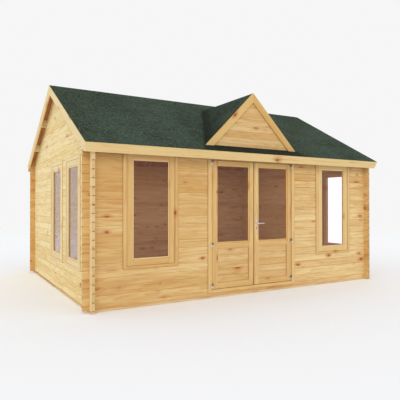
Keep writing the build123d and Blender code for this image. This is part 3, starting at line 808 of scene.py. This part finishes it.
plate = {"round": 0.014, "rim": 0.003, "dip": 0.0006, "edge": 0.0016, "leafBite": 0.0003, "screw": 0.0036,
         "screwShares": (0.06, 0.94), "screwSpan": (-0.0012, 0.0003), "screwEdge": 0.0004}
lock = {"drop": 0.072, "radius": 0.0085, "span": (-0.001, 0.0018), "edge": 0.0006, "footHalf": 0.005,
        "footSpan": (0.024, 0.004), "footEdge": 0.0015, "slitHalf": 0.001, "slitReach": 0.004,
        "slitSpan": (0.001, 0.0021), "slitEdge": 0.0003}


def buildPlates():
    low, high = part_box("handle_plates")
    middleX = (low[0] + high[0]) / 2
    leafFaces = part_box("right_door_leaf")
    leverLow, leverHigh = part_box("door_lever")
    plates, lockParts = [], []
    for sideY, faceY in ((low[1], leafFaces[0][1]), (high[1], leafFaces[1][1])):
        out = -1 if sideY < faceY else 1
        span = sorted((sideY, faceY + out * plate["leafBite"]))
        board = addBlock("plate", (low[0], span[0], low[2]), (high[0], span[1], high[2]))
        bevelEdges(board, plate["round"], 6, lambda middle, line: abs(line.y) > 0.9)
        drawFaces(board, plate["rim"], (0, -out * plate["dip"], 0),
                  lambda middle, normal: normal.y * out > 0.9)
        roundEdges(board, plate["edge"])
        plates.append(board)
        for share in plate["screwShares"]:
            head = addPeg("plateScrew", plate["screw"], middleX, low[2] + share * (high[2] - low[2]),
                          [sideY + out * end for end in plate["screwSpan"]])
            roundEdges(head, plate["screwEdge"])
            lockParts.append(head)
        # The profile cylinder below the lever: a round head over a narrower foot, and the key's slit
        lockZ = (leverLow[2] + leverHigh[2]) / 2 - lock["drop"]
        span = sorted(sideY + out * end for end in lock["span"])
        barrel = addPeg("barrel", lock["radius"], middleX, lockZ, span, 24)
        roundEdges(barrel, lock["edge"])
        foot = addBlock("lockFoot", (middleX - lock["footHalf"], span[0], lockZ - lock["footSpan"][0]),
                        (middleX + lock["footHalf"], span[1], lockZ - lock["footSpan"][1]))
        roundEdges(foot, lock["footEdge"])
        span = sorted(sideY + out * end for end in lock["slitSpan"])
        slit = addBlock("keySlit", (middleX - lock["slitHalf"], span[0], lockZ - lock["slitReach"]),
                        (middleX + lock["slitHalf"], span[1], lockZ + lock["slitReach"]))
        roundEdges(slit, lock["slitEdge"])
        lockParts += [barrel, foot, slit]
    finishPiece("handlePlates", plates, paintedReflectionSteel, "right_door", "steel", "handle_plates")
    finishPiece("doorLock", lockParts, darkSteel, "right_door", "steel")


lever = {"pivotInset": 0.009, "endInset": 0.008, "spindle": 0.0075, "collar": 0.0135,
         "collarSpan": (0.0005, 0.006), "collarEdge": 0.0018, "neck": 0.0088, "neckFoot": 0.004,
         "neckPast": 0.0015, "neckEdge": 0.003, "grip": 0.0078, "gripHeel": 0.0075, "tip": 0.004,
         "tipShrink": (1.0, 0.8, 0.8), "tipEdge": 0.0022}


def buildLever():
    low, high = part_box("door_lever")
    plateLow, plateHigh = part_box("handle_plates")
    pivotX, pivotZ = low[0] + lever["pivotInset"], (low[2] + high[2]) / 2
    parts = [addPeg("spindle", lever["spindle"], pivotX, pivotZ,
                    (low[1] + lever["endInset"], high[1] - lever["endInset"]), 24)]
    for endY, plateY in ((low[1], plateLow[1]), (high[1], plateHigh[1])):
        out = -1 if endY < plateY else 1
        centreY = endY - out * lever["endInset"]
        collar = addPeg("collar", lever["collar"], pivotX, pivotZ,
                        [plateY + out * end for end in lever["collarSpan"]], 32)
        roundEdges(collar, lever["collarEdge"], 3)
        neck = addPeg("neck", lever["neck"], pivotX, pivotZ,
                      (plateY + out * lever["neckFoot"], centreY + out * lever["neckPast"]), 32)
        roundEdges(neck, lever["neckEdge"], 3)
        grip = addRod("grip", lever["grip"], (pivotX - lever["gripHeel"], centreY, pivotZ),
                      (high[0] - lever["tip"], centreY, pivotZ), "x", 32)
        # The free end is drawn in, then rounded
        drawFaces(grip, 0.0, (lever["tip"], 0, 0), lambda middle, normal: normal.x > 0.9, lever["tipShrink"])
        roundEdges(grip, lever["tipEdge"], 3, 30)
        parts += [collar, neck, grip]
    finishPiece("leverHandle", parts, satinSteel, "lever", "steel", "door_lever")


felt = {"strips": 3, "lap": 0.08, "overRidge": 0.02, "ply": 0.00142, "ridgeWing": 0.15, "cutsAlong": 56,
        "cutsUp": 7, "wave": 0.0022, "waveSize": 0.45, "sheet": 0.003}  # sheet: the CAD felt's thickness
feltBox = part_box("roof_felt")
feltHalfX = feltBox[1][0]
feltFootY = feltBox[0][1] + felt["sheet"] * math.sin(roofSlope)
feltFootZ = feltBox[0][2]
slopeRun = -feltFootY / math.cos(roofSlope)
stripWidth = slopeRun / felt["strips"]


def buildStrip(name, low, high, lift, side):
    # One width of felt, modelled flat with the eaves on X, its lower edge raised over the width below
    strip = addBlock(name, (-feltHalfX, low, 0.0), (feltHalfX, high, felt["ply"]))
    divideEdges(strip, "x", felt["cutsAlong"])
    divideEdges(strip, "y", felt["cutsUp"])
    tilt = lift / (high - low)
    settle(strip, (0.0, high * (1 - math.cos(tilt)), high * math.sin(tilt)), (-tilt, 0.0, 0.0))
    settle(strip, (0.0, side * -feltFootY, feltFootZ), turnFor(side, roofSlope))
    cutAt(strip, (0, 0, 0), (0, -side, 0))
    return strip


def buildFelt():
    # Three lapped widths and a ridge cap on each slope, slightly rippled
    feltRipple = bpy.data.textures.new("feltRipple", "CLOUDS")
    feltRipple.noise_scale = felt["waveSize"]
    parts = []
    for side in (-1, 1):
        for step in range(felt["strips"]):
            low = step * stripWidth - (felt["lap"] if step else 0.0)
            high = (step + 1) * stripWidth + (felt["overRidge"] if step == felt["strips"] - 1 else 0.0)
            parts.append(buildStrip("strip", low, high, felt["ply"] if step else 0.0, side))
        cap = buildStrip("ridgeCap", slopeRun - felt["ridgeWing"], slopeRun + felt["overRidge"], 0.0, side)
        settle(cap, (0.0, 0.0, felt["ply"] / math.cos(roofSlope)))
        parts.append(cap)
    for part in parts:
        modify(part, "DISPLACE", texture=feltRipple, direction="Z", strength=felt["wave"], mid_level=0.0)
    finishPiece("roofFelt", parts, mineralFelt, "house", "green_felt", "roof_felt")


dormerCap = {"wing": 0.12, "ply": 0.0012, "runBack": 0.35, "cuts": 24, "sink": 0.4, "bury": 0.002,
             "feltEdge": 0.0008}


def buildDormerFelt():
    # The dormer's two faces of felt, with a cap over its ridge down to the roof
    faces = placeCopy(cadNodes["dormer_felt"])
    pickParts(faces, "FACE", lambda middle, facing: True)
    bpy.ops.mesh.remove_doubles(threshold=0.0002)
    bpy.ops.mesh.normals_make_consistent(inside=False)
    bpy.ops.object.mode_set(mode="OBJECT")
    roundEdges(faces, dormerCap["feltEdge"], 1)
    low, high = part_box("dormer_felt")
    ply = dormerCap["ply"]
    parts = [faces]
    for slope in (math.pi - dormerSlope, dormerSlope):
        cap = addBlock("dormerCap", (0.0, low[1], -ply),
                       (dormerCap["wing"], high[1] + dormerCap["runBack"], 0.0))
        divideEdges(cap, "y", dormerCap["cuts"])
        settle(cap, (0.0, 0.0, high[2] - ply * dormerCap["sink"]), (0.0, slope, 0.0))
        cutAt(cap, (0, 0, ridgeTop - dormerCap["bury"]), (0, math.sin(roofSlope), -math.cos(roofSlope)))
        parts.append(cap)
    finishPiece("dormerFelt", parts, mineralFelt, "house", "green_felt", "dormer_felt")


nail = {"step": 0.15, "head": 0.0052, "topRadius": 0.00312, "rise": 0.001, "lift": 0.004,
        "aboveEdge": 0.022, "aboveCap": 0.02, "fromEnd": 0.02, "fromVerge": 0.018, "dormerGap": 0.01,
        "eavesY": -2.0}


def buildNails():
    # Clout nails along the laps, the ridge cap and the verges
    bpy.ops.object.select_all(action="DESELECT")
    bpy.ops.mesh.primitive_cone_add(vertices=8, radius1=nail["head"], radius2=nail["topRadius"],
                                    depth=nail["rise"], location=(0, 0, nail["rise"] / 2))
    first = addNew("nail")
    rows = [nail["aboveEdge"]]
    rows += [step * stripWidth - felt["lap"] + nail["aboveEdge"] for step in range(1, felt["strips"])]
    rows.append(slopeRun - felt["ridgeWing"] + nail["aboveCap"])
    endX = feltHalfX - nail["fromEnd"]
    count, steps = int(2 * endX / nail["step"]), int(slopeRun / nail["step"])
    spots = [(-endX + 2 * endX * step / count, row) for row in rows for step in range(count + 1)]
    spots += [(side * (feltHalfX - nail["fromVerge"]), slopeRun * (step + 0.5) / steps)
              for side in (-1, 1) for step in range(steps)]
    nails = []
    for side in (-1, 1):
        for x, up in spots:
            y = feltFootY + up * math.cos(roofSlope) - nail["lift"] * math.sin(roofSlope)
            z = feltFootZ + up * math.sin(roofSlope) + nail["lift"] * math.cos(roofSlope)
            # None under the dormer
            if side > 0 or abs(x) + z >= dormerRidge + nail["dormerGap"] or y <= nail["eavesY"]:
                nails.append(placeCopy(first, (-side * x, -side * y, z), turnFor(side, roofSlope)))
    removePiece(first)
    finishPiece("feltNails", nails, darkSteel, "house", "steel")


boarding = {"roofCount": 61, "floorCount": 35, "vee": 0.0022, "gap": 0.0004, "roofThick": 0.019,
            "ridgeGap": 0.0003, "dormerPitch": 0.09, "floorPitch": 0.112}


def buildRoofBoards():
    thick, gap = boarding["roofThick"], boarding["gap"]
    for side, node in ((-1, "front_roof_boards"), (1, "rear_roof_boards")):
        low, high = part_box(node)
        pitch = (high[0] - low[0]) / boarding["roofCount"]
        board = addBlock("roofBoard", (low[0] + gap, 0.0, 0.0),
                         (low[0] + pitch - gap, slopeRun + felt["overRidge"], thick))
        roundEdges(board, boarding["vee"], 1)
        repeatPiece(board, boarding["roofCount"], (pitch, 0.0, 0.0))
        footY = abs(low[1] if side < 0 else high[1]) - thick * math.sin(roofSlope)
        settle(board, (0.0, side * footY, low[2]), turnFor(side, roofSlope))
        cutAt(board, (0, side * boarding["ridgeGap"], 0), (0, -side, 0))
        finishPiece(node.split("_")[0] + "RoofBoarding", [board], roofBoards, "house", "roof_timber", node)


def buildFloorBoards():
    low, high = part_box("floor")
    pitch = (high[1] - low[1]) / boarding["floorCount"]
    board = addBlock("floorBoard", (low[0], low[1] + boarding["gap"], low[2]),
                     (high[0], low[1] + pitch - boarding["gap"], high[2]))
    roundEdges(board, boarding["vee"], 1)
    repeatPiece(board, boarding["floorCount"], (0.0, pitch, 0.0))
    finishPiece("floorBoarding", [board], floorTimber, "house", "floor_boards", "floor")


screw = {"radius": 0.0042, "half": 0.0006, "rim": 0.0012, "dip": 0.0007, "pairs": 10, "fromEnd": 0.12,
         "heights": (0.03, 0.085)}


def buildEavesScrews():
    # Countersunk screws in pairs along both fascias
    low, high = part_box("fascias")
    head = addPeg("eavesScrew", screw["radius"], 0, 0, (screw["half"], -screw["half"]))
    drawFaces(head, screw["rim"], (0, screw["dip"], 0), lambda middle, normal: normal.y < -0.9)
    pitch = (high[0] - low[0] - 2 * screw["fromEnd"]) / (screw["pairs"] - 1)
    screws = []
    for side, faceY in ((-1, low[1]), (1, high[1])):
        for step in range(screw["pairs"]):
            for height in screw["heights"]:
                spot = (low[0] + screw["fromEnd"] + step * pitch, faceY, low[2] + height)
                screws.append(placeCopy(head, spot, turnFor(side)))
    removePiece(head)
    finishPiece("eavesScrews", screws, brushedSteel, "house", "steel")


roofLow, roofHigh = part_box("front_roof_boards")
roofBoards = makeBoards("roofBoards", "roof", "z", roofLow[0], (roofHigh[0] * 2) / boarding["roofCount"])
floorTimber = makeBoards("floorTimber", "plain", "x", 0.0, boarding["floorPitch"])
dress(makeBoards("dormerBoards", "roof", "y", 0.0, boarding["dormerPitch"]), "dormer_roof_boards")
dress(floorTimber, "floor")

buildHinges()
buildPlates()
buildLever()
print("stage: hinges and handle built")
buildFelt()
buildDormerFelt()
buildNails()
print("stage: felt laid and nailed")
buildRoofBoards()
buildFloorBoards()
buildEavesScrews()
print("stage: boarding and screws built")


setting = {
    "floorSize": 60.0, "floorDrop": 0.002, "floorShade": (0.945, 0.96, 0.985, 1.0), "floorFade": (9.0, 20.0),
    "skyShade": 0.922, "skyLight": 0.86, "paneShade": 1.75, "mirrorCast": (0.86, 0.8, 0.66, 1.0),
    "sunLight": 0.6, "sunFrom": (-0.45, -0.62, 0.68), "sunSpread": 24,
    "roomLight": 17.5, "roomCast": (1.0, 0.98, 1.09), "roomSize": (4.2, 2.6), "roomHeight": 2.25,
}


def makeFloor():
    bpy.ops.object.select_all(action="DESELECT")
    bpy.ops.mesh.primitive_plane_add(size=setting["floorSize"], location=(0, 0, -setting["floorDrop"]))
    floor = bpy.context.object
    floor.name = "studioFloor"
    material, surface, place = startMaterial("studioFloor")
    fill(surface, {"Base Color": setting["floorShade"], "Roughness": 0.9, "Specular IOR Level": 0.0})
    far = fade(calcVector("LENGTH", place), *setting["floorFade"])
    path = addNode("ShaderNodeLightPath", tree=surface.id_data).outputs
    letThrough(surface, larger(far, path["Is Transmission Ray"]))
    floor.data.materials.append(material)


def makeSky():
    world = bpy.data.worlds.new("studioSky")
    bpy.context.scene.world = world
    world.use_nodes = True
    tree = world.node_tree
    tree.nodes.clear()
    path = addNode("ShaderNodeLightPath", tree=tree).outputs
    mirrored, throughPane = path["Is Glossy Ray"], path["Is Transmission Ray"]
    seen = larger(larger(path["Is Camera Ray"], mirrored), throughPane)
    white = (1.0, 1.0, 1.0, 1.0)
    light = addNode("ShaderNodeBackground", {"Color": white, "Strength": setting["skyLight"]}, tree)
    level = mixSockets(throughPane, setting["skyShade"], setting["paneShade"], kind="FLOAT")
    # Reflections see a warmer room than the eye does
    cast = mixSockets(mirrored, white, setting["mirrorCast"])
    shown = addNode("ShaderNodeBackground", {"Color": cast, "Strength": level})
    both = addNode("ShaderNodeMixShader", {0: seen, 1: light.outputs[0], 2: shown.outputs[0]})
    addNode("ShaderNodeOutputWorld", {"Surface": both.outputs[0]})


def addToScene(name, data, **settings):
    setAll(data, settings)
    thing = bpy.data.objects.new(name, data)
    bpy.context.collection.objects.link(thing)
    return thing


def makeSun():
    sun = addToScene("softSun", bpy.data.lights.new("softSun", "SUN"), energy=setting["sunLight"],
                     angle=math.radians(setting["sunSpread"]))
    sun.rotation_euler = Vector(setting["sunFrom"]).to_track_quat("Z", "Y").to_euler()


def makeRoomLight():
    # Stands for the daylight that many bounces bring in
    glow = addToScene("roomFill", bpy.data.lights.new("roomFill", "AREA"), shape="RECTANGLE",
                      size=setting["roomSize"][0], size_y=setting["roomSize"][1],
                      energy=setting["roomLight"], color=setting["roomCast"])
    glow.location = (0, 0, setting["roomHeight"])
    glow.visible_camera = glow.visible_glossy = glow.visible_transmission = False


view = {"place": (-4.301, -7.690, 1.426), "turn": 0.5268, "tilt": 0.0075, "lens": 39.78}


def makeCamera():
    viewer = addToScene("viewer", bpy.data.cameras.new("viewer"), sensor_width=36.0, lens=view["lens"])
    viewer.location = view["place"]
    viewer.rotation_euler = (math.pi / 2 + view["tilt"], 0.0, -view["turn"])
    bpy.context.scene.camera = viewer


makeFloor()
makeSky()
makeSun()
makeRoomLight()
makeCamera()
bpy.context.scene.view_settings.view_transform = "Standard"
print("stage: studio ready")
